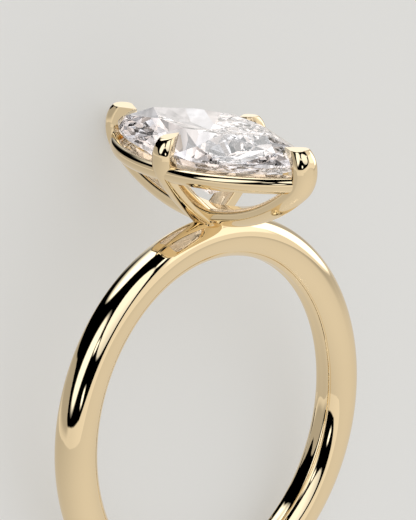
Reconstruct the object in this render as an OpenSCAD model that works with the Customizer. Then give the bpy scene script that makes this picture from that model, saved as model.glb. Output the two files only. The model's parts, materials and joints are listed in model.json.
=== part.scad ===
// Solitaire ring: a long pointed stone held by four claws on a plain round band.
// Units are millimetres. The ring lies on its side, as it rests on a table:
// one claw and the far edge of the band touch the floor, at z = 0.
// Each piece is drawn first as the ring is worn, with the finger along Y and
// the stone up Z, and is then laid down by one transform.

/* [Finger band] */
// Inside diameter, where the finger goes
finger_d = 16.6; // [16.2:0.1:17.4]
// Thickness of the round wire that the band is bent from
wire_d = 2.1; // [2:0.05:2.3]
// Depth of the flat that the finger touches, cut into the wire
flat_depth = 0.07; // [0.04:0.01:0.12]

/* [Stone] */
// Length of the stone, from point to point
stone_l = 12.8; // [12.6:0.05:13]
// Width of the stone, across its belly
stone_w = 6.2; // [6:0.05:6.3]
// Height of the girdle's lower edge above the top of the band
girdle_z = 3.82; // [3.7:0.02:3.9]
// Thickness of the girdle
girdle_t = 0.12; // [0.08:0.01:0.16]
// Height of the crown, from the girdle to the table
crown_h = 1.02; // [0.9:0.02:1.1]
// Depth of the pavilion, from the girdle to its lowest point
pavilion_h = 2.6; // [2.4:0.05:2.7]
// Width of the table as a share of the stone's width
table_w_share = 0.58; // [0.54:0.01:0.62]
// Length of the table as a share of the stone's length
table_l_share = 0.62; // [0.58:0.01:0.66]

/* [Gallery rail] */
// Height of the rail's lower edge above the top of the band
rail_z = 2.52; // [2.4:0.02:2.6]
// Height of the rail's wall
rail_h = 0.86; // [0.7:0.02:0.9]
// How far the rail stands out past the stone
rail_out = 0.38; // [0.3:0.02:0.42]
// Thickness of the rail's wall
rail_t = 0.95; // [0.85:0.05:1]
// Length of the rail, whose points are cut off where the end arms hide them
rail_l = 13; // [12.8:0.05:13]

/* [Claws] */
// Distance from the middle to the back of an end claw
end_reach = 7.08; // [7:0.02:7.2]
// Distance from the middle to the back of a side claw
side_reach = 3.72; // [3.66:0.02:3.8]
// Width of an end arm
end_w = 1.36; // [1.2:0.02:1.4]
// Width of a side arm
side_w = 1.22; // [1.1:0.02:1.3]
// Thickness of an arm
arm_t = 0.95; // [0.85:0.05:1]
// Roundness of an arm's back, as a radius
back_r = 0.76; // [0.72:0.02:0.9]
// Radius of the bend where an arm turns up to its claw
bend_r = 1.9; // [1.7:0.05:2]
// How far an end claw's point reaches in from its back
end_hook = 1.94; // [1.8:0.02:2]
// How far a side claw's point reaches in from its back
side_hook = 1.58; // [1.5:0.02:1.64]
// Height of the claws' tops above the top of the band
claw_top = 4.88; // [4.84:0.02:4.96]
// How far an end claw's point lies below its top
end_drop = 0.24; // [0.16:0.02:0.28]
// How far a side claw's point lies below its top
side_drop = 0.08; // [0.06:0.01:0.12]
// Thickness of a claw's point, before the stone's seat is cut
point_t = 0.24; // [0.2:0.02:0.28]
// Radius of the shoulder between a claw's back and its top
shoulder_r = 0.8; // [0.7:0.05:0.9]

/* [Fits] */
// Clear gap between the stone and the metal around it
seat_gap = 0.03; // [0.02:0.01:0.05]

/* [Hidden] */
$fn = 96;

GOLD = [0.86, 0.72, 0.47];
STONE = [0.93, 0.94, 0.97, 0.8];

// Band
wire_r = wire_d / 2;
wire_ring_r = finger_d / 2 + wire_r - flat_depth;
band_top = wire_ring_r + wire_r;

// Long sweeps: radius, slope in degrees where the sweep crosses the middle, and
// how far it then lies below the top of the band
END_SWEEP_R = 9.78;
END_SLOPE = 0;
END_SINK = 0.26;
SIDE_SWEEP_R = 13.7;
SIDE_SLOPE = 34.4;
SIDE_SINK = 0.76;

// Stone outline: two arcs of the same radius that meet in the points
outline_r = (pow(stone_l / 2, 2) + pow(stone_w / 2, 2)) / stone_w;
outline_c = outline_r - stone_w / 2;

// Facets: eight main facets, each with this many steps of the girdle
MAINS = 8;
STEPS = 4;
GIRDLE_N = MAINS * STEPS;
// Share of the crown's height where its star facets end, and of the pavilion's
// depth where its lower facets end
STAR_SHARE = 0.5;
LOWER_SHARE = 0.24;
// Degrees of each flat that rounds a claw's shoulder
SHOULDER_STEP = 15;
// Where one piece of an arm continues another, it starts this far inside it, is
// this much thinner on each face, and laps it by this angle
LAP = 0.03;
STEP_IN = 0.01;
LAP_ANGLE = 1;

// Pose on the floor. The floor is the common tangent of the wire's circle at the
// foot of the band and of the bend below the end claw.
bend_y = end_reach - bend_r;
bend_z = band_top + sweep_centre(END_SWEEP_R, END_SLOPE, END_SINK)[1]
       - (END_SWEEP_R - bend_r) * cos(end_angle(END_SWEEP_R, END_SLOPE, end_reach));
rise = bend_z + wire_ring_r;
span = sqrt(pow(bend_y, 2) + pow(rise, 2));
tilt = atan(bend_y / rise) + asin((bend_r - wire_r) / span);
floor_drop = wire_ring_r * sin(tilt) + wire_r;
shoulder_y = end_reach - shoulder_r;
shoulder_z = band_top + claw_top - shoulder_r;
back_end = shoulder_y * sin(tilt) + shoulder_z * cos(tilt) + shoulder_r;
foot_end = wire_ring_r * cos(tilt) + wire_r;

// Centre of a sweep in its own plane, from its radius, slope and sink
function sweep_centre(r, slope, sink) = [-r * sin(slope), r * cos(slope) - sink];

// Angle at which a sweep hands over to the bend, so that the bend ends upright
// with its back at the wanted reach
function end_angle(r, slope, reach) = asin((reach - bend_r + r * sin(slope)) / (r - bend_r));

// Point of the stone's outline, grown outwards: step 0 is the front point, and
// the steps run round by way of +X
function outline_point(i, grow) =
    let (half = GIRDLE_N / 2, side = i < half ? 1 : -1, j = i < half ? i : i - half)
    let (r = outline_r + grow, tip = acos(outline_c / r), turn = -tip + 2 * tip * j / half)
    side * [r * cos(turn) - outline_c, r * sin(turn)];

// Direction of the outline at a main facet; across the stone at its two points
function outline_tangent(i, grow) =
    let (half = GIRDLE_N / 2, j = i % half)
    j == 0 ? [1, 0, 0] :
    let (p = outline_point(i, grow), c = i < half ? -outline_c : outline_c)
    [-p[1], p[0] - c, 0];

function at_height(p, z) = [p[0], p[1], z];

// Plane through a girdle point along its tangent and through one more point, as
// its normal and its distance
function facet_plane(g, tangent, q) = let (n = cross(tangent, q - g)) [n, n * g];

// Point where two planes meet at a given height
function meet_at(a, b, z) =
    let (n = a[0], m = b[0], d = a[1] - n[2] * z, e = b[1] - m[2] * z)
    let (det = n[0] * m[1] - n[1] * m[0])
    [(d * m[1] - e * n[1]) / det, (n[0] * e - m[0] * d) / det, z];

// Lays a worn ring on its side on the floor
module lay_down() {
    translate([0, (foot_end - back_end) / 2, floor_drop])
        rotate([tilt - 90, 0, 0])
            children();
}

// Moves to the top of the band, where all the heights of the head start
module on_band() {
    translate([0, 0, band_top])
        children();
}

// Round band with a narrow flat on its inside
module band() {
    rotate([90, 0, 0])
        rotate_extrude($fn = 180)
            difference() {
                translate([wire_ring_r, 0])
                    circle(r = wire_r);
                translate([0, -wire_d])
                    square([finger_d / 2, 2 * wire_d]);
            }
}

// Section of an arm: flat towards the stone, rounded at its back, which lies at x
module arm_section(x, width) {
    intersection() {
        translate([x - arm_t, -width / 2])
            square([arm_t, width]);
        translate([x - back_r, 0])
            circle(r = back_r, $fn = 64);
    }
}

// Bar bent along an arc, from one slope to another, in the plane of X and Z. The
// inset makes it thinner all round than the bar that it continues.
module bent_bar(centre, r, from, to, width, inset = 0) {
    translate([centre[0], 0, centre[1]])
        rotate([90, 0, 0])
            rotate([0, 0, from - 90])
                rotate_extrude(angle = to - from, $fn = 180)
                    intersection() {
                        arm_section(r - inset, width - 2 * inset);
                        translate([r - arm_t + inset, -width])
                            square([arm_t, 2 * width]);
                    }
}

// Claw in plan: the arm's rounded back, drawn in to a point over the stone
module claw_plan(reach, width, hook) {
    intersection() {
        polygon([
            [reach - hook, 0],
            [reach - arm_t, -width / 2],
            [reach + 1, -width / 2],
            [reach + 1, width / 2],
            [reach - arm_t, width / 2]
        ]);
        union() {
            translate([reach - back_r, 0])
                circle(r = back_r, $fn = 64);
            translate([reach - hook - 1, -width])
                square([hook + 1 - back_r, 2 * width]);
        }
    }
}

// Claw from its side: upright back, round shoulder, and a top that falls to the point
module claw_side(reach, hook, drop, low) {
    top_x = reach - shoulder_r;
    point_x = reach - hook;
    point_z = claw_top - drop;
    shoulder_low = claw_top - shoulder_r;
    polygon(concat(
        [[reach - arm_t + 2 * STEP_IN, low], [reach, low]],
        [for (a = [0 : SHOULDER_STEP : 90])
            [top_x + shoulder_r * cos(a), shoulder_low + shoulder_r * sin(a)]],
        [[point_x, point_z], [point_x, point_z - point_t]]
    ));
}

// Bend at the end of a sweep, and the claw that stands on it, along +X
module bend_and_claw(sweep_r, slope, sink, reach, width, hook, drop) {
    turn = end_angle(sweep_r, slope, reach);
    bend_low = sweep_centre(sweep_r, slope, sink)[1] - (sweep_r - bend_r) * cos(turn);
    back = reach - 2 * STEP_IN;
    bent_bar([reach - bend_r, bend_low], bend_r, turn - LAP_ANGLE, 90, width, STEP_IN);
    intersection() {
        translate([0, 0, bend_low - LAP])
            linear_extrude(claw_top)
                claw_plan(back, width - 4 * STEP_IN, hook);
        rotate([90, 0, 0])
            translate([0, 0, -width])
                linear_extrude(2 * width)
                    claw_side(back, hook, drop, bend_low - LAP);
    }
}

// Long cradle along Y, with a claw at each end
module end_arms() {
    turn = end_angle(END_SWEEP_R, END_SLOPE, end_reach);
    rotate([0, 0, 90])
        bent_bar(sweep_centre(END_SWEEP_R, END_SLOPE, END_SINK), END_SWEEP_R, -turn, turn, end_w);
    for (side = [90, 270])
        rotate([0, 0, side])
            bend_and_claw(END_SWEEP_R, END_SLOPE, END_SINK, end_reach, end_w, end_hook, end_drop);
}

// Two arms along X, which rise more steeply to the stone's belly
module side_arms() {
    turn = end_angle(SIDE_SWEEP_R, SIDE_SLOPE, side_reach);
    for (side = [0, 180])
        rotate([0, 0, side]) {
            bent_bar(sweep_centre(SIDE_SWEEP_R, SIDE_SLOPE, SIDE_SINK), SIDE_SWEEP_R,
                     SIDE_SLOPE - LAP_ANGLE, turn, side_w);
            bend_and_claw(SIDE_SWEEP_R, SIDE_SLOPE, SIDE_SINK, side_reach, side_w,
                          side_hook, side_drop);
        }
}

// Stone's outline as two true arcs, grown outwards or shrunk
module outline(grow) {
    intersection_for (side = [-1, 1])
        translate([side * outline_c, 0])
            circle(r = outline_r + grow, $fn = 240);
}

// Rail that follows the stone's outline just below its girdle
module gallery_rail() {
    translate([0, 0, rail_z])
        linear_extrude(rail_h)
            difference() {
                intersection() {
                    outline(rail_out);
                    square([stone_w + rail_l, rail_l], center = true);
                }
                outline(rail_out - rail_t);
            }
}

// Faceted stone, grown outwards by a gap when it serves to cut its own seat
module stone_body(grow) {
    low = girdle_z - grow;
    high = girdle_z + girdle_t + grow;
    table_z = girdle_z + girdle_t + crown_h + grow;
    culet_z = girdle_z - pavilion_h - grow;
    star_z = high + (table_z - high) * (1 - STAR_SHARE);
    lower_z = culet_z + (low - culet_z) * LOWER_SHARE;
    rim = [for (i = [0 : GIRDLE_N - 1]) outline_point(i, grow)];
    mains = [for (k = [0 : MAINS - 1]) k * STEPS];
    table = [for (i = mains) [rim[i][0] * table_w_share, rim[i][1] * table_l_share, table_z]];
    culet = [0, 0, culet_z];
    crown_planes = [for (k = [0 : MAINS - 1])
        facet_plane(at_height(rim[mains[k]], high), outline_tangent(mains[k], grow), table[k])];
    pavilion_planes = [for (k = [0 : MAINS - 1])
        facet_plane(at_height(rim[mains[k]], low), outline_tangent(mains[k], grow), culet)];
    stars = [for (k = [0 : MAINS - 1])
        meet_at(crown_planes[k], crown_planes[(k + 1) % MAINS], star_z)];
    lowers = [for (k = [0 : MAINS - 1])
        meet_at(pavilion_planes[k], pavilion_planes[(k + 1) % MAINS], lower_z)];

    // Points in the order table, stars, upper rim, lower rim, lower facets, culet
    star_0 = MAINS;
    upper_0 = star_0 + MAINS;
    under_0 = upper_0 + GIRDLE_N;
    lower_0 = under_0 + GIRDLE_N;
    culet_0 = lower_0 + MAINS;
    points = concat(
        table,
        stars,
        [for (p = rim) at_height(p, high)],
        [for (p = rim) at_height(p, low)],
        lowers,
        [culet]
    );
    faces = concat(
        [[for (k = [MAINS - 1 : -1 : 0]) k]],
        [for (k = [0 : MAINS - 1]) [k, (k + 1) % MAINS, star_0 + k]],
        [for (k = [0 : MAINS - 1])
            [k, star_0 + k, upper_0 + mains[k], star_0 + (k + MAINS - 1) % MAINS]],
        [for (k = [0 : MAINS - 1], s = [0 : STEPS - 1])
            let (i = mains[k] + s)
            [star_0 + k, upper_0 + (i + 1) % GIRDLE_N, upper_0 + i]],
        [for (i = [0 : GIRDLE_N - 1])
            let (j = (i + 1) % GIRDLE_N)
            [upper_0 + i, upper_0 + j, under_0 + j, under_0 + i]],
        [for (k = [0 : MAINS - 1], s = [0 : STEPS - 1])
            let (i = mains[k] + s)
            [lower_0 + k, under_0 + i, under_0 + (i + 1) % GIRDLE_N]],
        [for (k = [0 : MAINS - 1])
            [culet_0, lower_0 + (k + MAINS - 1) % MAINS, under_0 + mains[k], lower_0 + k]]
    );
    polyhedron(points, faces, convexity = 4);
}

// All the metal: cast and soldered, so it is one solid
module band_with_setting() {
    color(GOLD)
        lay_down()
            difference() {
                union() {
                    band();
                    on_band() {
                        end_arms();
                        side_arms();
                        gallery_rail();
                    }
                }
                on_band()
                    stone_body(seat_gap);
            }
}

// The stone on its own
module stone() {
    color(STONE)
        lay_down()
            on_band()
                stone_body(0);
}

band_with_setting();
stone();
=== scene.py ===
import json
import math

import bmesh
import bpy
import numpy as np
from mathutils import Matrix, Vector


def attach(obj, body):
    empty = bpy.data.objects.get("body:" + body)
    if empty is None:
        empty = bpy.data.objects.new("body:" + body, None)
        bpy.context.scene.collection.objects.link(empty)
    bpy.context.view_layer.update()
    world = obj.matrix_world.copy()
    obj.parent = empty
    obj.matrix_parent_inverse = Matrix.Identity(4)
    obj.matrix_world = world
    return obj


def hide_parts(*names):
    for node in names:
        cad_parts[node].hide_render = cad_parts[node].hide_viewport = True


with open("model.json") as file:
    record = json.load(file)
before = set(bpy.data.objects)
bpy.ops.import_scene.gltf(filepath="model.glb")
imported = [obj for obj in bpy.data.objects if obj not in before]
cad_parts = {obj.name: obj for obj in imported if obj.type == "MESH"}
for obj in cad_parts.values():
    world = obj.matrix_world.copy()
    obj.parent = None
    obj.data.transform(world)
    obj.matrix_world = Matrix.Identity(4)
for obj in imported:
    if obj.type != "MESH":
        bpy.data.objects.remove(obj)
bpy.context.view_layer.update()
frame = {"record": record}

# Sizes are millimetres in the worn frame: the finger along Y, the stone up Z and
# the middle of the hoop at the origin. One matrix lays the ring on its side.

# Band: round wire whose inside is a little flatter, between two fine creases
WIRE_R = 1.05
RING_R = 9.28
FLAT_HALF = 0.3
FLAT_DEEP = 0.04
CREASE_DEEP = 0.034
CREASE_HALF = 0.042
CREASE_AT = [
    {"place": -90, "angle": 155.5}, {"place": 14, "angle": 155.0}, {"place": 27, "angle": 152.0},
    {"place": 37, "angle": 149.6}, {"place": 45, "angle": 147.0}, {"place": 58, "angle": 140.0},
    {"place": 73, "angle": 133.6}, {"place": 83, "angle": 129.0}, {"place": 90, "angle": 128.0},
]
BAND_RINGS = 400
WIRE_STEPS_OUT = 44
WIRE_STEPS_IN = 22

# Stone
STONE_L = 12.8
STONE_W = 6.2
GIRDLE_Z = 14.15
GIRDLE_T = 0.12
CROWN_H = 1.02
PAVILION_H = 2.6
TABLE_W = 0.58
TABLE_L = 0.62
MAINS = 8
HALVES = (0.25, 0.75)
STAR_SHARE = 0.5
LOWER_SHARE = 0.24
OUTLINE_R = (STONE_L ** 2 / 4 + STONE_W ** 2 / 4) / STONE_W
OUTLINE_C = OUTLINE_R - STONE_W / 2
OUTLINE_STEPS = 240
STONE_TONES = ((0.99, 0.97, 0.98), (0.97, 0.97, 0.99))
STONE_IOR = 2.42
SEAT_GAP = 0.01

# Arms: reach of the back, sweep radius, sweep centre, section width. Claws: length from
# the back to the tip (hook), radius of the back in plan (round), how the back domes over
# (shoulder inwards, drop downwards), height of the tip, and rise of the flat top from
# the tip towards the back.
BEND_R = 1.9
ARM_T = 0.95
BACK_R = 0.76
EDGE_R = 0.26
SIDE_EDGE_R = 0.16
CLAW_EDGE = 0.05
CLAW_START = 0.02
CLAW_BACK = 0.35
CLAW_MIDDLE = 0.78
TOP_TRACE = 0.008
END_ARM = {"reach": 7.08, "sweep_r": 9.78, "centre": (0.0, 19.85), "width": 1.36,
           "hook": 1.94, "round": 0.64, "shoulder": 1.25, "drop": 0.98, "tip": 14.96, "rise": 0.07}
SIDE_ARM = {"reach": 3.72, "sweep_r": 13.7, "centre": (-7.74, 20.874), "width": 1.22,
            "hook": 1.58, "round": 0.54, "shoulder": 1.1, "drop": 0.86, "tip": 15.13, "rise": -0.085}

# Gallery rail: offsets from the stone's outline, and heights
RAIL_LOW = 12.86
RAIL_HIGH = 13.72
RAIL_FOOT = 0.12
RAIL_LIP = 0.42
RAIL_LIP_Z = 13.12
RAIL_LEAN = 0.04
RAIL_FOOT_ROUND = 0.08
RAIL_LIP_ROUND = 0.4
RAIL_ROUND = 0.34
RAIL_DISH = 0.06
RAIL_IN = -0.55

# Corners nearer than this are one corner; the claws' tips have real ones 0.0001 apart
METAL_WELD = 0.00002
STONE_WELD = 0.0001

# Gold's two tones
GOLD_LIGHT = (0.88, 0.745, 0.52)
GOLD_DEEP = (0.87, 0.735, 0.51)


def worn_to_row():
    """Matrix that lays the worn ring down, worked out from the finger hole's mount."""
    hole = next(m for m in frame["record"]["mounts"] if m["name"] == "finger_hole")
    y = -Vector(hole["axis"]).normalized()
    x = Vector((1, 0, 0))
    z = x.cross(y)
    turn = Matrix((x, y, z)).transposed().to_4x4()
    return Matrix.Translation(hole["pos_m"]) @ turn @ Matrix.Scale(0.001, 4)


LAY_DOWN = worn_to_row()


def new_object(name, verts, faces):
    """Object made from points and faces, put in the scene."""
    mesh = bpy.data.meshes.new(name)
    mesh.from_pydata([tuple(v) for v in verts], [], faces)
    mesh.validate()
    obj = bpy.data.objects.new(name, mesh)
    bpy.context.scene.collection.objects.link(obj)
    return obj


def ring_faces(count, around, closed=False):
    """Faces between rings of points, and from the last ring to the first if closed."""
    faces = []
    for k in range(count if closed else count - 1):
        a = k * around
        b = (k + 1) % count * around
        faces += [(a + j, a + (j + 1) % around, b + (j + 1) % around, b + j) for j in range(around)]
    return faces


def loft(name, rings, closed=False):
    """Skin over rings of equally many points, capped at both ends unless closed."""
    rings = np.asarray(rings, dtype=float)
    count, around = rings.shape[:2]
    faces = ring_faces(count, around, closed)
    if not closed:
        faces.append(tuple(range(around))[::-1])
        faces.append(tuple((count - 1) * around + j for j in range(around)))
    return new_object(name, rings.reshape(-1, 3), faces)


def fillet(points, radii, steps=4):
    """Closed outline with each corner that has a radius turned into an arc."""
    out = []
    count = len(points)
    for k in range(count):
        p = np.array(points[k], dtype=float)
        r = radii[k]
        if r <= 0:
            out.append(p)
            continue
        a = np.array(points[k - 1], dtype=float) - p
        b = np.array(points[(k + 1) % count], dtype=float) - p
        a /= np.linalg.norm(a)
        b /= np.linalg.norm(b)
        half = math.acos(max(-1.0, min(1.0, float(a @ b)))) / 2
        back = r / math.tan(half)
        middle = p + (a + b) / np.linalg.norm(a + b) * r / math.sin(half)
        start = p + a * back - middle
        stop = p + b * back - middle
        sweep = math.pi - 2 * half
        for s in range(steps + 1):
            t = s / steps
            mixed = math.sin((1 - t) * sweep) * start + math.sin(t * sweep) * stop
            out.append(middle + mixed / math.sin(sweep))
    return np.array(out)


def shaded_normals(obj, by_area):
    """Corner normals of a mesh; by area, its large faces stay flat beside a rounded edge."""
    if not by_area:
        return [n.vector[:] for n in obj.data.corner_normals]
    mod = obj.modifiers.new("weight", "WEIGHTED_NORMAL")
    mod.keep_sharp = True
    bpy.context.view_layer.update()
    seen = obj.evaluated_get(bpy.context.evaluated_depsgraph_get()).data
    normals = [n.vector[:] for n in seen.corner_normals]
    obj.modifiers.clear()
    return normals


def weld(mesh, near):
    """Merges corners that almost coincide, so that no face is left without area."""
    bm = bmesh.new()
    bm.from_mesh(mesh)
    bmesh.ops.remove_doubles(bm, verts=bm.verts, dist=near)
    bm.to_mesh(mesh)
    bm.free()


def finish_part(obj, sharp_deg=28.0, by_area=False):
    """Outward faces, smooth shading with crisp edges, and the normals kept as an attribute."""
    bm = bmesh.new()
    bm.from_mesh(obj.data)
    bmesh.ops.remove_doubles(bm, verts=bm.verts, dist=1e-6)
    bmesh.ops.recalc_face_normals(bm, faces=bm.faces)
    bm.to_mesh(obj.data)
    bm.free()
    mesh = obj.data
    mesh.shade_smooth()
    mesh.set_sharp_from_angle(angle=math.radians(sharp_deg))
    keep = mesh.attributes.new("kept_normal", "FLOAT_VECTOR", "CORNER")
    keep.data.foreach_set("vector", np.array(shaded_normals(obj, by_area), dtype=np.float32).ravel())
    return obj


def wire_point(angle, sink=0.0):
    """Point of the wire's section as radius and side: round, and softly flat inside."""
    turn = math.radians(angle)
    u, v = (WIRE_R - sink) * math.cos(turn), (WIRE_R - sink) * math.sin(turn)
    if u < 0 and abs(v) < FLAT_HALF:
        u += FLAT_DEEP * (1 - (v / FLAT_HALF) ** 2) ** 2
    return RING_R + u, v


def band():
    """Hoop of round wire; the creases' angle on the wire changes round the hoop."""
    crease_step = math.degrees(CREASE_HALF / WIRE_R)
    crease_places = [row["place"] for row in CREASE_AT]
    crease_angles = [row["angle"] for row in CREASE_AT]
    rings = []
    for place in np.linspace(-90, 270, BAND_RINGS, endpoint=False):
        from_foot = place if place <= 90 else 180 - place
        crease = np.interp(from_foot, crease_places, crease_angles)
        half = list(np.linspace(0, crease - crease_step, WIRE_STEPS_OUT))
        half += [crease - crease_step / 2, crease, crease + crease_step / 2]
        half += list(np.linspace(crease + crease_step, 180, WIRE_STEPS_IN))
        ring = []
        for angle in half[1:-1][::-1]:
            ring.append(-angle)
        ring += half
        section = []
        for angle in ring:
            away = abs(abs(angle) - crease) / crease_step
            section.append(wire_point(angle, CREASE_DEEP * max(0.0, 1 - away)))
        t = math.radians(place)
        rings.append([(r * math.cos(t), y, r * math.sin(t)) for r, y in section])
    return finish_part(loft("band", rings, closed=True), sharp_deg=12.0)


def arm_section(width):
    """Closed outline as depth from the back and distance to the side."""
    half = width / 2
    spread = math.asin(half / BACK_R)
    turns = [-spread] + list(np.linspace(-spread * 0.82, spread * 0.82, 27)) + [spread]
    arc = [(BACK_R - BACK_R * math.cos(a), BACK_R * math.sin(a)) for a in turns]
    outline = arc + [(ARM_T, half), (ARM_T, -half)]
    radii = [0.0] * len(outline)
    radii[-1] = radii[-2] = EDGE_R
    radii[0] = radii[len(arc) - 1] = SIDE_EDGE_R
    return fillet(outline, radii, 6)


def place(u, side, z, turn):
    """Point of an arm's own plane, turned about Z."""
    c, s = math.cos(turn), math.sin(turn)
    return (u * c - side * s, u * s + side * c, z)


def sweep_rings(section, centre, radius, start, stop, turn, count):
    """Rings of a section along an arc: angles in degrees from straight down."""
    rings = []
    for a in np.radians(np.linspace(start, stop, count)):
        n = (math.sin(a), -math.cos(a))
        rings.append([place(centre[0] + (radius - d) * n[0], s, centre[1] + (radius - d) * n[1], turn)
                      for d, s in section])
    return rings


def bend_centre(arm):
    """Middle of the bend up to an arm's claw, and the sweep's angle where it starts."""
    u = arm["reach"] - BEND_R
    reach = arm["sweep_r"] - BEND_R
    across = u - arm["centre"][0]
    height = arm["centre"][1] - math.sqrt(reach ** 2 - across ** 2)
    return (u, height), math.degrees(math.asin(across / reach))


def cradle():
    """Long bar over the band, with a bend up to the claw at each end."""
    section = arm_section(END_ARM["width"])
    bend, angle = bend_centre(END_ARM)
    mirror = (-bend[0], bend[1])
    turn = math.radians(90)
    rings = sweep_rings(section, mirror, BEND_R, -91, -angle, turn, 24)[:-1]
    rings += sweep_rings(section, END_ARM["centre"], END_ARM["sweep_r"], -angle, angle, turn, 97)
    rings += sweep_rings(section, bend, BEND_R, angle, 91, turn, 24)[1:]
    return finish_part(loft("cradle", rings))


def side_arm(turn):
    """Arm from beside the band up to a claw at the stone's belly."""
    section = arm_section(SIDE_ARM["width"])
    bend, angle = bend_centre(SIDE_ARM)
    first = math.degrees(math.asin(-SIDE_ARM["centre"][0] / SIDE_ARM["sweep_r"]))
    rings = sweep_rings(section, SIDE_ARM["centre"], SIDE_ARM["sweep_r"], first - 1, angle, turn, 40)
    rings += sweep_rings(section, bend, BEND_R, angle, 91, turn, 16)[1:]
    return finish_part(loft("side_arm", rings))


def cut(bm, point, normal):
    """Cuts away what lies on the normal's side of a plane, and closes the cut."""
    geom = bm.verts[:] + bm.edges[:] + bm.faces[:]
    found = bmesh.ops.bisect_plane(
        bm, geom=geom, dist=1e-7, plane_co=point, plane_no=normal, clear_outer=True)
    edges = [e for e in found["geom_cut"] if isinstance(e, bmesh.types.BMEdge)]
    if not edges:
        return []
    return bmesh.ops.contextual_create(bm, geom=edges)["faces"]


def teardrop(long, round_r):
    """Claw's plan as depth from the back and side: the tip first, then the round back."""
    lean = math.asin(round_r / (long - round_r))
    turns = np.linspace(math.pi / 2 - lean, 3 * math.pi / 2 + lean, 73)
    back = [(round_r + round_r * math.cos(a), round_r * math.sin(a)) for a in turns]
    return np.array([(long, 0.0)] + back)


def reach_outline(outline, centre, angle):
    """Distance from a point inside an outline to its edge, in one direction."""
    d = np.array((math.cos(angle), math.sin(angle)))
    a = outline - centre
    b = np.roll(a, -1, axis=0)
    e = b - a
    cross = d[0] * e[:, 1] - d[1] * e[:, 0]
    cross = np.where(abs(cross) < 1e-12, 1e-12, cross)
    along = (a[:, 0] * e[:, 1] - a[:, 1] * e[:, 0]) / cross
    share = (a[:, 0] * d[1] - a[:, 1] * d[0]) / cross
    ok = (along > 1e-9) & (share >= -1e-9) & (share <= 1 + 1e-9)
    return along[ok].min()


def limited(value):
    """Value kept between 0 and 1."""
    return min(1.0, max(0.0, value))


def soft_step(value, start, stop):
    """Smooth step from 0 at start to 1 at stop."""
    t = limited((value - start) / (stop - start))
    return t * t * (3 - 2 * t)


def soft_top(z, top):
    """Height under a flat top whose rim is rounded; it still rises by a trace."""
    under = top - z
    if under > CLAW_EDGE:
        return z
    if under < -CLAW_EDGE:
        return top - under * TOP_TRACE
    return top + CLAW_EDGE * TOP_TRACE - (under + CLAW_EDGE) ** 2 / (4 * CLAW_EDGE) * (1 + TOP_TRACE)


def claw_levels(low, dome, tops):
    """Heights of a claw's rings, closest together at the rim of its top."""
    levels = list(np.linspace(low, dome, 14))
    levels += list(np.linspace(dome, tops[0] - CLAW_EDGE, 16))[1:]
    levels += list(np.linspace(tops[0] - CLAW_EDGE, tops[1] + CLAW_EDGE, 20))[1:]
    return levels


def claw(arm, turn):
    """Claw: from the arm's section to a teardrop, with a domed back and a flat top."""
    bend, _ = bend_centre(arm)
    low = bend[1] - CLAW_START
    tops = sorted((arm["tip"], arm["tip"] + arm["rise"] * arm["hook"]))
    back_top = arm["tip"] + arm["rise"] * (arm["hook"] - CLAW_BACK)
    dome = back_top - arm["drop"]
    drop = teardrop(arm["hook"], arm["round"])
    bar = arm_section(arm["width"])
    tip = np.array((arm["hook"], 0.0))
    centre = np.array((CLAW_MIDDLE, 0.0))
    keys = [math.atan2(q[1], q[0] - centre[0]) for q in (drop[0], drop[1], drop[-1])]
    angles = sorted(set(list(np.linspace(-math.pi, math.pi, 120, endpoint=False)) + keys))
    rings = []
    for z in claw_levels(low, dome, tops):
        over = max(0.0, z - dome) / arm["shoulder"]
        shrink = 1 - arm["shoulder"] * (1 - math.sqrt(1 - over * over)) / arm["hook"]
        ring = []
        for a in angles:
            near = soft_step(math.cos(a), -0.2, 0.5)
            fast = limited((z - low) / (dome - low))
            slow = limited((z - low) / (tops[0] - low))
            share = fast * near + slow * (1 - near)
            as_bar = reach_outline(tip + (bar - tip) * shrink, centre, a)
            as_drop = reach_outline(tip + (drop - tip) * shrink, centre, a)
            far = as_bar * (1 - share) + as_drop * share
            depth = centre[0] + far * math.cos(a)
            top = arm["tip"] + arm["rise"] * (arm["hook"] - depth)
            ring.append(place(arm["reach"] - depth, far * math.sin(a), soft_top(z, top), turn))
        rings.append(ring)
    return finish_part(loft("claw", rings), sharp_deg=38.0, by_area=True)


def rail():
    """Rail that follows the stone's outline: section as offset from it and height."""
    corners = [(RAIL_FOOT, RAIL_LOW), (RAIL_LIP, RAIL_LIP_Z), (RAIL_LIP - RAIL_LEAN, RAIL_HIGH),
               (RAIL_IN, RAIL_HIGH - RAIL_DISH), (RAIL_IN, RAIL_LOW)]
    section = fillet(corners, [RAIL_FOOT_ROUND, RAIL_LIP_ROUND, RAIL_ROUND, 0, 0], 12)
    steps = np.linspace(-1, 1, 97)
    rings = []
    for side in (1, -1):
        for t in steps[:-1]:
            ring = []
            for grow, z in section:
                r = OUTLINE_R + grow
                a = t * math.acos(OUTLINE_C / r)
                ring.append((side * (r * math.cos(a) - OUTLINE_C), side * r * math.sin(a), z))
            rings.append(ring)
    return finish_part(loft("rail", rings, closed=True), sharp_deg=20.0)


def boolean(obj, other, kind):
    """Joins another object to this one, or cuts it out, and removes the other."""
    mod = obj.modifiers.new(kind.lower(), "BOOLEAN")
    mod.operation = kind
    mod.solver = "MANIFOLD"
    mod.object = other
    bpy.context.view_layer.update()
    mesh = bpy.data.meshes.new_from_object(obj.evaluated_get(bpy.context.evaluated_depsgraph_get()))
    obj.modifiers.clear()
    obj.data = mesh
    bpy.data.objects.remove(other)
    return obj


def girdle_point(share, grow=0.0):
    """Outline point: share 0 is the tip at -Y, 0.5 the tip at +Y, by way of +X."""
    side, t = (1, share * 2) if share < 0.5 else (-1, share * 2 - 1)
    r = OUTLINE_R + grow
    a = (2 * t - 1) * math.acos(OUTLINE_C / r)
    return Vector((side * (r * math.cos(a) - OUTLINE_C), side * r * math.sin(a), 0))


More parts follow.
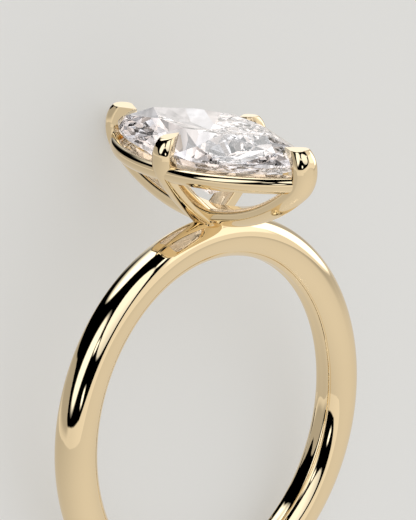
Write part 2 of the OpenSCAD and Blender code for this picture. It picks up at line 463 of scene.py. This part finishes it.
def facet_plane(share, z, grow, through):
    """Plane along the outline's tangent at a share of the girdle, and through one more point."""
    g = girdle_point(share % 1.0, grow)
    base = Vector((g.x, g.y, z))
    if abs(share % 0.5) < 1e-6:
        tangent = Vector((1, 0, 0))
    else:
        tangent = girdle_point((share + 1e-4) % 1.0, grow) - girdle_point((share - 1e-4) % 1.0, grow)
    normal = tangent.cross(through - base).normalized()
    if normal.dot(base - Vector((0, 0, z))) < 0:
        normal = -normal
    return base, normal


def meet_at(first, second, z):
    """Point where two planes meet at a height."""
    rows = np.array([first[1][:2], second[1][:2]])
    ends = [first[0].dot(first[1]) - first[1][2] * z, second[0].dot(second[1]) - second[1][2] * z]
    x, y = np.linalg.solve(rows, ends)
    return Vector((x, y, z))


def stone_planes(grow):
    """Every facet's plane: table, mains, stars and upper and lower girdle facets."""
    upper = GIRDLE_Z + GIRDLE_T + grow
    lower = GIRDLE_Z - grow
    table_z = GIRDLE_Z + GIRDLE_T + CROWN_H + grow
    culet = Vector((0, 0, GIRDLE_Z - PAVILION_H - grow))
    star_z = upper + (table_z - upper) * (1 - STAR_SHARE)
    low_z = culet.z + (lower - culet.z) * LOWER_SHARE
    rim = [girdle_point(k / MAINS, grow) for k in range(MAINS)]
    corners = [Vector((g.x * TABLE_W, g.y * TABLE_L, table_z)) for g in rim]
    crown = [facet_plane(k / MAINS, upper, grow, corners[k]) for k in range(MAINS)]
    pavilion = [facet_plane(k / MAINS, lower, grow, culet) for k in range(MAINS)]
    planes = [(Vector((0, 0, table_z)), Vector((0, 0, 1)))] + crown + pavilion
    for k in range(MAINS):
        after = (k + 1) % MAINS
        tip = meet_at(crown[k], crown[after], star_z)
        normal = (corners[after] - corners[k]).cross(tip - corners[k]).normalized()
        planes.append((tip, normal if normal.z > 0 else -normal))
        under = meet_at(pavilion[k], pavilion[after], low_z)
        for part in HALVES:
            planes.append(facet_plane((k + part) / MAINS, upper, grow, tip))
            planes.append(facet_plane((k + part) / MAINS, lower, grow, under))
    return planes


def stone_mesh(grow=0.0):
    """Brilliant-cut marquise: the outline's prism, cut by every facet's plane."""
    count = OUTLINE_STEPS
    rim = [girdle_point(k / count, grow) for k in range(count)]
    low, high = GIRDLE_Z - 4, GIRDLE_Z + 2
    verts = [(p.x, p.y, low) for p in rim] + [(p.x, p.y, high) for p in rim]
    faces = [tuple(range(count))[::-1], tuple(range(count, 2 * count))]
    faces += [(k, (k + 1) % count, count + (k + 1) % count, count + k) for k in range(count)]
    bm = bmesh.new()
    made = [bm.verts.new(v) for v in verts]
    for f in faces:
        bm.faces.new([made[k] for k in f])
    for point, normal in stone_planes(grow):
        cut(bm, point, normal)
    return bm


def stone():
    """The stone as a piece of its own."""
    bm = stone_mesh()
    mesh = bpy.data.meshes.new("marquise_stone")
    bmesh.ops.recalc_face_normals(bm, faces=bm.faces)
    bm.to_mesh(mesh)
    bm.free()
    weld(mesh, STONE_WELD)
    obj = bpy.data.objects.new("marquise_stone", mesh)
    bpy.context.scene.collection.objects.link(obj)
    return obj


def noise(nodes, links, scale, detail, stretch=(1, 1, 1)):
    """Noise over the object's own coordinates, finer along each stretched axis."""
    where = nodes.new("ShaderNodeTexCoord")
    mapping = nodes.new("ShaderNodeMapping")
    mapping.inputs["Scale"].default_value = stretch
    tex = nodes.new("ShaderNodeTexNoise")
    tex.inputs["Scale"].default_value = scale
    tex.inputs["Detail"].default_value = detail
    links.new(where.outputs["Object"], mapping.inputs["Vector"])
    links.new(mapping.outputs["Vector"], tex.inputs["Vector"])
    return tex.outputs["Fac"]


def ranged(nodes, links, value, low, high):
    """Maps noise between its usual ends to a range."""
    tool = nodes.new("ShaderNodeMapRange")
    tool.inputs["From Min"].default_value = 0.3
    tool.inputs["From Max"].default_value = 0.7
    tool.inputs["To Min"].default_value = low
    tool.inputs["To Max"].default_value = high
    links.new(value, tool.inputs["Value"])
    return tool.outputs["Result"]


def tinted(nodes, links, value, first, second):
    """Colour that drifts between two tones."""
    ramp = nodes.new("ShaderNodeValToRGB")
    ramp.color_ramp.elements[0].position = 0.35
    ramp.color_ramp.elements[0].color = (*first, 1)
    ramp.color_ramp.elements[1].position = 0.65
    ramp.color_ramp.elements[1].color = (*second, 1)
    links.new(value, ramp.inputs["Fac"])
    return ramp.outputs["Color"]


def bump(nodes, links, value, strength, height):
    """Normal that follows a value as if it were height."""
    tool = nodes.new("ShaderNodeBump")
    tool.inputs["Strength"].default_value = strength
    tool.inputs["Distance"].default_value = height
    links.new(value, tool.inputs["Height"])
    return tool.outputs["Normal"]


def gold():
    """Polished gold: faint drift in tone, polishing haze, and hairline marks."""
    mat = bpy.data.materials.new("yellow_gold")
    mat.use_nodes = True
    nodes, links = mat.node_tree.nodes, mat.node_tree.links
    shader = nodes["Principled BSDF"]
    shader.inputs["Metallic"].default_value = 1.0
    drift = noise(nodes, links, 260, 2)
    links.new(tinted(nodes, links, drift, GOLD_LIGHT, GOLD_DEEP), shader.inputs["Base Color"])
    haze = noise(nodes, links, 900, 4)
    links.new(ranged(nodes, links, haze, 0.004, 0.024), shader.inputs["Roughness"])
    hairs = noise(nodes, links, 2600, 3, (1, 1, 7))
    links.new(bump(nodes, links, hairs, 0.05, 0.00001), shader.inputs["Normal"])
    return mat


def diamond():
    """Clear stone whose tone drifts by a trace between rose and blue."""
    mat = bpy.data.materials.new("clear_stone")
    mat.use_nodes = True
    nodes, links = mat.node_tree.nodes, mat.node_tree.links
    shader = nodes["Principled BSDF"]
    drift = noise(nodes, links, 420, 2)
    links.new(tinted(nodes, links, drift, *STONE_TONES), shader.inputs["Base Color"])
    polish = noise(nodes, links, 1500, 3)
    links.new(ranged(nodes, links, polish, 0.0, 0.004), shader.inputs["Roughness"])
    shader.inputs["Transmission Weight"].default_value = 1.0
    shader.inputs["IOR"].default_value = STONE_IOR
    return mat


def stone_seat():
    """Solid a little larger than the stone, for cutting its seat."""
    seat = bpy.data.objects.new("seat", bpy.data.meshes.new("seat"))
    bm = stone_mesh(SEAT_GAP)
    bmesh.ops.recalc_face_normals(bm, faces=bm.faces)
    bm.to_mesh(seat.data)
    bm.free()
    bpy.context.scene.collection.objects.link(seat)
    return finish_part(seat, sharp_deg=5.0)


def make_metal():
    """Band, rail, arms and claws as one solid, with the stone's seat cut out."""
    metal = band()
    metal.name = "gold_ring"
    parts = [rail(), cradle(), side_arm(0), side_arm(math.pi)]
    parts += [claw(END_ARM, math.radians(90)), claw(END_ARM, math.radians(270))]
    parts += [claw(SIDE_ARM, 0), claw(SIDE_ARM, math.pi)]
    for part in parts:
        boolean(metal, part, "UNION")
    boolean(metal, stone_seat(), "DIFFERENCE")
    weld(metal.data, METAL_WELD)
    return metal


def keep_normals(obj):
    """Shades a mesh with the normals its parts had before they were joined."""
    mesh = obj.data
    kept = mesh.attributes["kept_normal"]
    values = np.zeros(len(mesh.loops) * 3, dtype=np.float32)
    kept.data.foreach_get("vector", values)
    values = values.reshape(-1, 3)
    length = np.linalg.norm(values, axis=1)
    flat = np.zeros(len(mesh.loops) * 3, dtype=np.float32)
    mesh.corner_normals.foreach_get("vector", flat)
    flat = flat.reshape(-1, 3)
    values = np.where(length[:, None] > 0.2, values / np.maximum(length[:, None], 1e-6), flat)
    mesh.attributes.remove(kept)
    mesh.normals_split_custom_set([tuple(v) for v in values])


metal = make_metal()
keep_normals(metal)
metal.data.transform(LAY_DOWN)
metal.data.materials.clear()
metal.data.materials.append(gold())
metal.visible_transmission = False
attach(metal, "root")
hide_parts("band_with_setting")

gem = stone()
gem.data.transform(LAY_DOWN)
gem.data.materials.append(diamond())
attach(gem, "root")
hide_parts("stone")

# Studio. Its cards are only seen in reflections, and its surround only by light that
# leaves the stone. All are placed by their direction from the ring in the worn frame:
# azimuth and elevation in degrees.
CARD_FAR = 1000.0
SWEEP_FAR = 800.0
GEM_FAR = 1400.0
FLOOR_TONE = (0.983, 0.916, 0.813)
SWEEP_STEP = 3.0
SWEEP_BLUR = 0.5
FOOT_BLUR = 0.3
ROW_NEAR = 0.5
DAYLIGHT = (0.983, 0.996, 0.993)

# Brightness of the sweep: plain, then what facing its bright side or looking down adds
BRIGHT_SIDE = -75
FLOOR_LEVEL = 0.68
FLOOR_FACING = 0.11
FLOOR_BELOW = 0.13
FLOOR_RAISED = 0.75
WALL_LEVEL = 0.87
WALL_FACING = 0.12
WALL_SHADED = 0.5
FOOT_SHADE_WIDE = 4.5

# Surround that light leaving the stone meets: lively above, calm below
GEM_TONE = (1.0, 0.93, 0.9)
GEM_LEVEL = 0.6
GEM_CONTRAST = 1.6
GEM_CALM = 0.655
GEM_MOST = 1.4
GEM_BOUNCES = 20
GEM_CALM_FROM = 36
GEM_CALM_TO = 46

# Outline of the sweep's top
SWEEP_TOP = [
    {"az": -135, "el": -0.4}, {"az": -120, "el": 3.5}, {"az": -110, "el": 7}, {"az": -100, "el": 11},
    {"az": -90, "el": 16}, {"az": -80, "el": 23}, {"az": -70, "el": 33}, {"az": -60, "el": 42},
    {"az": -45, "el": 55}, {"az": -20, "el": 62}, {"az": 10, "el": 62}, {"az": 35, "el": 55},
    {"az": 50, "el": 30}, {"az": 60, "el": 0}, {"az": 68, "el": -2}, {"az": 80, "el": 4},
    {"az": 90, "el": 7}, {"az": 100, "el": 11}, {"az": 120, "el": 19}, {"az": 132, "el": 20},
    {"az": 142, "el": 17}, {"az": 150, "el": 11}, {"az": 158, "el": 4}, {"az": 166, "el": -0.4},
    {"az": 204, "el": -0.8}, {"az": 225, "el": 0},
]
# Line where the floor ends and the wall begins; its azimuths run on from 90 to 370
WALL_FOOT = [
    {"az": 90, "el": -9}, {"az": 150, "el": -8.5}, {"az": 190, "el": -11}, {"az": 225, "el": -11},
    {"az": 243, "el": -10.5}, {"az": 254, "el": -7}, {"az": 262, "el": -3}, {"az": 270, "el": 1},
    {"az": 280, "el": 4}, {"az": 290, "el": 3}, {"az": 300, "el": 0}, {"az": 310, "el": -2.5},
    {"az": 315, "el": -5}, {"az": 320, "el": -7}, {"az": 335, "el": -5}, {"az": 345, "el": -3},
    {"az": 370, "el": -2},
]
# Shadow that lies on the floor along the wall: share of light that it takes
FOOT_SHADE = [
    {"az": 285, "take": 0.0}, {"az": 312, "take": 0.13}, {"az": 320, "take": 0.25},
    {"az": 327, "take": 0.38}, {"az": 345, "take": 0.2}, {"az": 370, "take": 0.2},
]
# Soft lights: half sizes in degrees, brightness, width of the soft edge as a share, turn
# about the middle, share of the brightness left at the foot, and squareness of outline
LIGHTS = [
    {"name": "softbox_round", "azimuth": -107.8, "elevation": 41, "half_wide": 22.9, "half_high": 22.9,
     "level": 1.36, "soft": 0.07, "low": 0.6, "square": 2.0},
    {"name": "softbox_long", "azimuth": 184, "elevation": 32, "half_wide": 17, "half_high": 29,
     "level": 1.5, "soft": 0.3, "roll": 22},
    {"name": "softbox_over", "azimuth": 74, "elevation": 57, "half_wide": 28, "half_high": 28,
     "level": 1.9, "soft": 0.14, "low": -0.05, "square": 2.1},
    {"name": "lamp_mid", "azimuth": -145, "elevation": 36, "half_wide": 5, "half_high": 5,
     "level": 1.8, "soft": 0.6},
    {"name": "lamp_low", "azimuth": -137, "elevation": 10, "half_wide": 6, "half_high": 6,
     "level": 1.8, "soft": 0.6},
    {"name": "lamp_side", "azimuth": -72, "elevation": 48, "half_wide": 5, "half_high": 5,
     "level": 1.8, "soft": 0.6},
    {"name": "window", "azimuth": -8, "elevation": 12.6, "half_wide": 16, "half_high": 15,
     "level": 1.2, "soft": 0.13, "square": 7},
    {"name": "window_left", "azimuth": -43, "elevation": 27, "half_wide": 22, "half_high": 15.5,
     "level": 0.42, "soft": 0.2, "roll": 20, "square": 5},
    {"name": "wall_light", "azimuth": 48, "elevation": 18, "half_wide": 24, "half_high": 24,
     "level": 0.75, "soft": 0.6},
]

# Camera in the worn frame, at the photo's angle to the ring
CAMERA_AT = Vector((-172.4, -171.1, 79.3))
CAMERA_RIGHT = Vector((0.7048, -0.7094, 0.0007))
CAMERA_UP = Vector((0.1989, 0.1986, 0.9597))
CAMERA_LENS = 352.2
CAMERA_SENSOR = 36

# Floor and world, which the metal's reflections don't see
GROUND_TONE = (0.45, 0.446, 0.435, 1)
GROUND_GLOW = (1.0, 0.99, 0.95, 1)
GROUND_GLOW_LEVEL = 0.335
GROUND_HALF = 3.0
WORLD_TONE = (0.8, 0.8, 0.8, 1)


def toward(azimuth, elevation):
    """Unit vector of a direction in the worn frame."""
    a, e = math.radians(azimuth), math.radians(elevation)
    return np.array([math.cos(e) * math.cos(a), math.cos(e) * math.sin(a), math.sin(e)])


def glow_material(name, solid=False):
    """Emission from the point attribute glow, added to what lies behind unless solid."""
    mat = bpy.data.materials.new(name)
    mat.use_nodes = True
    nodes, links = mat.node_tree.nodes, mat.node_tree.links
    nodes.clear()
    glow = nodes.new("ShaderNodeAttribute")
    glow.attribute_name = "glow"
    light = nodes.new("ShaderNodeEmission")
    out = nodes.new("ShaderNodeOutputMaterial")
    links.new(glow.outputs["Color"], light.inputs["Color"])
    if solid:
        streaks = noise(nodes, links, 34, 3, (1, 1, 9))
        links.new(ranged(nodes, links, streaks, 0.5, 1.4), light.inputs["Strength"])
        links.new(light.outputs["Emission"], out.inputs["Surface"])
        return mat
    clear = nodes.new("ShaderNodeBsdfTransparent")
    both = nodes.new("ShaderNodeAddShader")
    links.new(light.outputs["Emission"], both.inputs[0])
    links.new(clear.outputs["BSDF"], both.inputs[1])
    links.new(both.outputs["Shader"], out.inputs["Surface"])
    return mat


GLOW = glow_material("studio_glow")
GEM_GLOW = glow_material("gem_glow", solid=True)


def reflected_card(name, verts, faces, colours):
    """Glowing card that only reflections see."""
    card = new_object(name, verts, faces)
    card.data.transform(LAY_DOWN)
    glow = card.data.attributes.new("glow", "FLOAT_COLOR", "POINT")
    glow.data.foreach_set("color", np.array([(*c, 1) for c in colours], dtype=np.float32).ravel())
    card.data.materials.append(GLOW)
    card.visible_camera = False
    card.visible_diffuse = False
    card.visible_transmission = False
    card.visible_volume_scatter = False
    card.visible_shadow = False
    return card


def along(rows, name, azimuth):
    """Value of a table's column at an azimuth."""
    return float(np.interp(azimuth, [row["az"] for row in rows], [row[name] for row in rows]))


def wall_azimuth(azimuth):
    """Azimuth as WALL_FOOT and FOOT_SHADE count it."""
    turn = azimuth % 360
    return turn + 360 if turn < 10 else turn


def sweep_level(azimuth, elevation):
    """Brightness of the floor, and of the wall above WALL_FOOT."""
    d = toward(azimuth, elevation)
    facing = float(d @ toward(BRIGHT_SIDE, 0))
    floor = FLOOR_LEVEL + FLOOR_FACING * facing + FLOOR_BELOW * max(0.0, -d[2])
    turn = wall_azimuth(azimuth)
    if turn < 90:
        return floor * (FLOOR_RAISED if elevation > 0 else 1.0)
    foot = along(WALL_FOOT, "el", turn)
    if elevation < foot:
        near = math.exp(-((elevation - foot + 1) / FOOT_SHADE_WIDE) ** 2)
        return floor * (1 - near * along(FOOT_SHADE, "take", turn))
    shade = soft_step(elevation, -8, -1) * (1 - soft_step(turn, 162, 180))
    wall = WALL_LEVEL + WALL_FACING * max(0.0, facing)
    return wall * (1 - shade) + WALL_SHADED * shade


def sweep_column(azimuth):
    """Elevations up the sweep at an azimuth, each with its share of the brightness.

    Rows lie closer towards the wall's foot. The lowest passes straight down by
    FOOT_BLUR, so the columns meet with no hole between them.
    """
    top = along(SWEEP_TOP, "el", azimuth)
    foot = min(along(WALL_FOOT, "el", wall_azimuth(azimuth)), top - 2)
    below = list(foot - FOOT_BLUR - np.geomspace(ROW_NEAR, 90 + ROW_NEAR + foot, 18)[::-1] + ROW_NEAR)
    above = list(np.linspace(foot + FOOT_BLUR, top - SWEEP_BLUR, 14))
    return [(e, 1.0) for e in below + above] + [(top, 0.5), (top + SWEEP_BLUR, 0.0)]


def sweep_card():
    """Pale floor and backdrop round the ring, up to the outline in SWEEP_TOP."""
    verts, colours, faces = [], [], []
    around = np.arange(-135, 225, SWEEP_STEP)
    for a in around:
        column = sweep_column(a)
        for e, share in column:
            verts.append(toward(a, e) * SWEEP_FAR)
            colours.append([sweep_level(a, e) * share * c for c in FLOOR_TONE])
    rows = len(column)
    for k in range(len(around)):
        n = (k + 1) % len(around)
        faces += [(k * rows + j, n * rows + j, n * rows + j + 1, k * rows + j + 1) for j in range(rows - 1)]
    return reflected_card("sweep_card", verts, faces, colours)


def softbox(name, azimuth, elevation, half_wide, half_high, level, soft, roll=0, low=1.0, square=2.6):
    """Rounded card that fades out at its edge, and towards its foot to a share of its level."""
    ahead = toward(azimuth, elevation)
    right = np.cross(ahead, (0, 0, 1))
    right /= np.linalg.norm(right)
    up = np.cross(right, ahead)
    r = math.radians(roll)
    wide = (right * math.cos(r) + up * math.sin(r)) * math.tan(math.radians(half_wide))
    high = (up * math.cos(r) - right * math.sin(r)) * math.tan(math.radians(half_high))
    verts, colours = [], []
    around, steps = 48, 12
    for s in range(steps + 1):
        share = s / steps
        fade = soft_step(1 - share, 0.0, soft)
        for k in range(around):
            a = 2 * math.pi * k / around
            c, n = math.cos(a), math.sin(a)
            reach = (abs(c) ** square + abs(n) ** square) ** (-1 / square)
            verts.append((ahead + (wide * c + high * n) * reach * share) * CARD_FAR)
            foot = max(0.0, 1 + (low - 1) * max(0.0, -n * reach * share))
            colours.append([level * fade * foot * t for t in DAYLIGHT])
    return reflected_card(name, verts, ring_faces(steps + 1, around), colours)


def floor_plane():
    """Floor: seen and shaded by the camera, left out of reflections and of the stone."""
    far = GROUND_HALF
    corners = [(-far, -far, 0), (far, -far, 0), (far, far, 0), (-far, far, 0)]
    floor = new_object("floor", corners, [(0, 1, 2, 3)])
    mat = bpy.data.materials.new("floor")
    mat.use_nodes = True
    shader = mat.node_tree.nodes["Principled BSDF"]
    shader.inputs["Base Color"].default_value = GROUND_TONE
    shader.inputs["Roughness"].default_value = 0.9
    shader.inputs["Emission Color"].default_value = GROUND_GLOW
    shader.inputs["Emission Strength"].default_value = GROUND_GLOW_LEVEL
    floor.data.materials.append(mat)
    floor.visible_glossy = False
    floor.visible_transmission = False


def gem_colour(az, el):
    """Colour of the stone's surround in a direction: crossing bands, calmer low down."""
    wave = math.sin(7 * az + 3 * math.sin(2 * el + az)) * math.cos(el)
    cross = math.sin(9 * el + 2 * math.sin(3 * az))
    third = math.sin(12 * az - 5 * el + 2 * cross)
    pattern = wave + 0.8 * cross + 0.7 * third
    lively = min(GEM_MOST, GEM_LEVEL * math.exp(GEM_CONTRAST * pattern))
    calm = soft_step(-math.degrees(el), GEM_CALM_FROM, GEM_CALM_TO)
    level = lively * (1 - calm) + GEM_CALM * math.exp(0.1 * pattern) * calm
    cool = 0.06 * math.sin(4 * az + 5 * el)
    return [level * GEM_TONE[0] * (1 - cool), level * GEM_TONE[1], level * GEM_TONE[2] * (1 + cool)]


def gem_surround():
    """Pale bands round the stone, which only light that leaves the stone meets."""
    columns, rows = 144, 72
    verts, colours = [], []
    for j in range(rows + 1):
        el = math.pi * (j / rows - 0.5)
        for k in range(columns):
            az = 2 * math.pi * k / columns
            verts.append(toward(math.degrees(az), math.degrees(el)) * GEM_FAR)
            colours.append(gem_colour(az, el))
    inward = [(a, d, c, b) for a, b, c, d in ring_faces(rows + 1, columns)]
    card = reflected_card("gem_surround", verts, inward, colours)
    card.data.materials[0] = GEM_GLOW
    card.visible_glossy = False
    card.visible_transmission = True


def set_camera():
    """Turns the camera's place in the worn frame into the frame of the lying ring."""
    camera = bpy.data.objects.new("camera", bpy.data.cameras.new("camera"))
    bpy.context.scene.collection.objects.link(camera)
    turn = LAY_DOWN.to_3x3().normalized()
    right = (turn @ CAMERA_RIGHT).normalized()
    back = right.cross(turn @ CAMERA_UP).normalized()
    up = back.cross(right)
    facing = Matrix((right, up, back)).transposed().to_4x4()
    camera.matrix_world = Matrix.Translation(LAY_DOWN @ CAMERA_AT) @ facing
    camera.data.sensor_fit = "VERTICAL"
    camera.data.sensor_height = CAMERA_SENSOR
    camera.data.lens = CAMERA_LENS
    camera.data.clip_start = 0.01
    bpy.context.scene.camera = camera


def set_world():
    """Even light all round, which reflections don't see, and bounces enough for the stone."""
    scene = bpy.context.scene
    scene.view_settings.view_transform = "Standard"
    scene.cycles.max_bounces = GEM_BOUNCES
    scene.cycles.glossy_bounces = GEM_BOUNCES
    scene.cycles.transmission_bounces = GEM_BOUNCES
    world = bpy.data.worlds.new("studio")
    scene.world = world
    world.use_nodes = True
    world.node_tree.nodes["Background"].inputs["Color"].default_value = WORLD_TONE
    world.node_tree.nodes["Background"].inputs["Strength"].default_value = 1.0
    world.cycles_visibility.glossy = False


floor_plane()
gem_surround()
sweep_card()
for light in LIGHTS:
    softbox(**light)
set_camera()
set_world()
